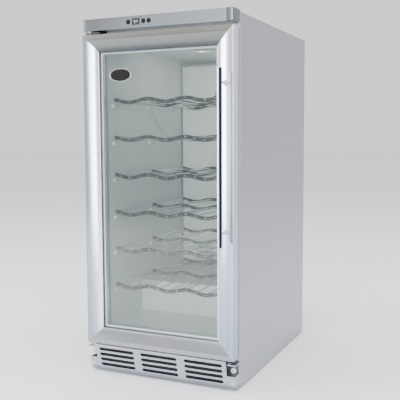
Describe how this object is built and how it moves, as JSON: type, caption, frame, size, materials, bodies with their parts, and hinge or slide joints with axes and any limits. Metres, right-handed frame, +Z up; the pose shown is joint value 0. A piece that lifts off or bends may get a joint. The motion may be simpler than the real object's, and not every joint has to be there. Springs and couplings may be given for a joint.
{
  "type": "wine cooler",
  "caption": "Slim under-counter wine cooler with a glazed reversible door, wave-shaped wire shelves, top control strip and vented kick plate.",
  "frame": {"origin": "bottom centre of the whole object's box, on the floor under the feet", "axes": "+Z up, +X to the right seen from the front, +Y from the door to the cabinet back"},
  "size_m": [0.396, 0.6008, 0.865],
  "materials": {
    "brushed_steel": "vertical brushed satin, bright",
    "fascia_steel": "horizontal brushed satin",
    "zinc_steel": "zinc coated sheet, dull",
    "foam": "rigid yellow foam, open pored cut faces",
    "liner_plastic": "vacuum formed, soft gloss",
    "display_black": "dark glossy window",
    "lamp_red": "dark tinted lamp lens",
    "board_green": "solder resist",
    "button_dark": "dark glossy caps",
    "bracket_steel": "plated bracket",
    "pin_steel": "bright plated",
    "frame_aluminium": "satin anodised",
    "glass": "clear toughened",
    "spacer_aluminium": "bright mill finish",
    "gasket_rubber": "soft ribbed seal",
    "handle_chrome": "mirror polished",
    "badge_black": "blank black plaque, thin silver rim",
    "shelf_wire": "plated wire and strip, satin",
    "lamp_lens": "frosted diffuser",
    "fin_aluminium": "thin bare fins",
    "fan_black": "moulded, fine texture",
    "compressor_black": "gloss black enamel",
    "tray_black": "moulded",
    "copper": "drawn copper, slightly tarnished",
    "foot_rubber": "moulded foot"
  },
  "bodies": {
    "cabinet": {"side_panel_left": "brushed_steel", "side_panel_right": "brushed_steel", "top_panel": "brushed_steel", "back_panel": "zinc_steel", "service_cover": "zinc_steel", "base_pan": "zinc_steel", "machine_deck": "zinc_steel", "insulation_foam": "foam", "inner_liner": "liner_plastic", "control_fascia": "fascia_steel", "fascia_end_cap_left": "fascia_steel", "fascia_end_cap_right": "fascia_steel", "display_window": "display_black", "status_lamp": "lamp_red", "control_board": "board_green", "kick_plate": "fascia_steel", "hinge_bracket_lower_left": "bracket_steel", "hinge_bracket_lower_right": "bracket_steel", "hinge_bracket_upper": "bracket_steel", "hinge_pin_lower": "pin_steel", "hinge_pin_upper": "pin_steel", "lamp_housing": "liner_plastic", "lamp_lens": "lamp_lens", "evaporator_cover": "liner_plastic", "evaporator": "fin_aluminium", "evaporator_fan_frame": "fan_black", "condenser": "fin_aluminium", "condenser_fan_frame": "fan_black", "compressor": "compressor_black", "start_relay_cover": "tray_black", "filter_drier": "copper", "drip_tray": "tray_black", "power_inlet": "tray_black"},
    "door": {"door_rail_top": "frame_aluminium", "door_rail_bottom": "frame_aluminium", "door_stile_left": "frame_aluminium", "door_stile_right": "frame_aluminium", "glass_outer": "glass", "glass_inner": "glass", "glass_spacer": "spacer_aluminium", "door_gasket": "gasket_rubber", "handle_bar": "handle_chrome", "handle_standoff_lower": "handle_chrome", "handle_standoff_upper": "handle_chrome", "badge_plate": "badge_black"},
    "shelf_1": {"shelf_1": "shelf_wire"},
    "shelf_2": {"shelf_2": "shelf_wire"},
    "shelf_3": {"shelf_3": "shelf_wire"},
    "shelf_4": {"shelf_4": "shelf_wire"},
    "shelf_5": {"shelf_5": "shelf_wire"},
    "shelf_6": {"shelf_6": "shelf_wire"},
    "power_button": {"power_button": "button_dark"},
    "warmer_button": {"warmer_button": "button_dark"},
    "cooler_button": {"cooler_button": "button_dark"},
    "foot_front_left": {"foot_front_left": "foot_rubber"},
    "foot_front_right": {"foot_front_right": "foot_rubber"},
    "foot_rear_left": {"foot_rear_left": "foot_rubber"},
    "foot_rear_right": {"foot_rear_right": "foot_rubber"},
    "evaporator_fan_blades": {"evaporator_fan_blades": "fan_black"},
    "condenser_fan_blades": {"condenser_fan_blades": "fan_black"}
  },
  "joints": [
    {"name": "door_hinge", "type": "hinge", "parent": "cabinet", "child": "door", "pos_m": [-0.18, -0.24563, 0.45], "axis": [0, 0, -1], "range_deg": [0, 110]},
    {"name": "shelf_1_slide", "type": "slide", "parent": "cabinet", "child": "shelf_1", "axis": [0, -1, 0], "range_m": [0, 0.0865]},
    {"name": "shelf_2_slide", "type": "slide", "parent": "cabinet", "child": "shelf_2", "axis": [0, -1, 0], "range_m": [0, 0.0865]},
    {"name": "shelf_3_slide", "type": "slide", "parent": "cabinet", "child": "shelf_3", "axis": [0, -1, 0], "range_m": [0, 0.0865]},
    {"name": "shelf_4_slide", "type": "slide", "parent": "cabinet", "child": "shelf_4", "axis": [0, -1, 0], "range_m": [0, 0.0865]},
    {"name": "shelf_5_slide", "type": "slide", "parent": "cabinet", "child": "shelf_5", "axis": [0, -1, 0], "range_m": [0, 0.0865]},
    {"name": "shelf_6_slide", "type": "slide", "parent": "cabinet", "child": "shelf_6", "axis": [0, -1, 0], "range_m": [0, 0.0865]},
    {"name": "power_button_press", "type": "slide", "parent": "cabinet", "child": "power_button", "axis": [0, 1, 0], "range_m": [0, 0.0011], "stiffness_N_per_m": 600},
    {"name": "warmer_button_press", "type": "slide", "parent": "cabinet", "child": "warmer_button", "axis": [0, 1, 0], "range_m": [0, 0.0011], "stiffness_N_per_m": 600},
    {"name": "cooler_button_press", "type": "slide", "parent": "cabinet", "child": "cooler_button", "axis": [0, 1, 0], "range_m": [0, 0.0011], "stiffness_N_per_m": 600},
    {"name": "foot_front_left_screw", "type": "slide", "parent": "cabinet", "child": "foot_front_left", "axis": [0, 0, -1], "range_m": [0, 0.015]},
    {"name": "foot_front_right_screw", "type": "slide", "parent": "cabinet", "child": "foot_front_right", "axis": [0, 0, -1], "range_m": [0, 0.015]},
    {"name": "foot_rear_left_screw", "type": "slide", "parent": "cabinet", "child": "foot_rear_left", "axis": [0, 0, -1], "range_m": [0, 0.015]},
    {"name": "foot_rear_right_screw", "type": "slide", "parent": "cabinet", "child": "foot_rear_right", "axis": [0, 0, -1], "range_m": [0, 0.015]},
    {"name": "evaporator_fan_spin", "type": "hinge", "parent": "cabinet", "child": "evaporator_fan_blades", "pos_m": [0, 0.20237, 0.7], "axis": [0, 1, 0], "continuous": true},
    {"name": "condenser_fan_spin", "type": "hinge", "parent": "cabinet", "child": "condenser_fan_blades", "pos_m": [-0.09, 0.05038, 0.0795], "axis": [0, 1, 0], "continuous": true}
  ],
  "couplings": [
    {"joint": "shelf_1_slide", "follows": "door_hinge", "m_per_rad": 0.045},
    {"joint": "shelf_2_slide", "follows": "door_hinge", "m_per_rad": 0.045},
    {"joint": "shelf_3_slide", "follows": "door_hinge", "m_per_rad": 0.045},
    {"joint": "shelf_4_slide", "follows": "door_hinge", "m_per_rad": 0.045},
    {"joint": "shelf_5_slide", "follows": "door_hinge", "m_per_rad": 0.045},
    {"joint": "shelf_6_slide", "follows": "door_hinge", "m_per_rad": 0.045}
  ]
}
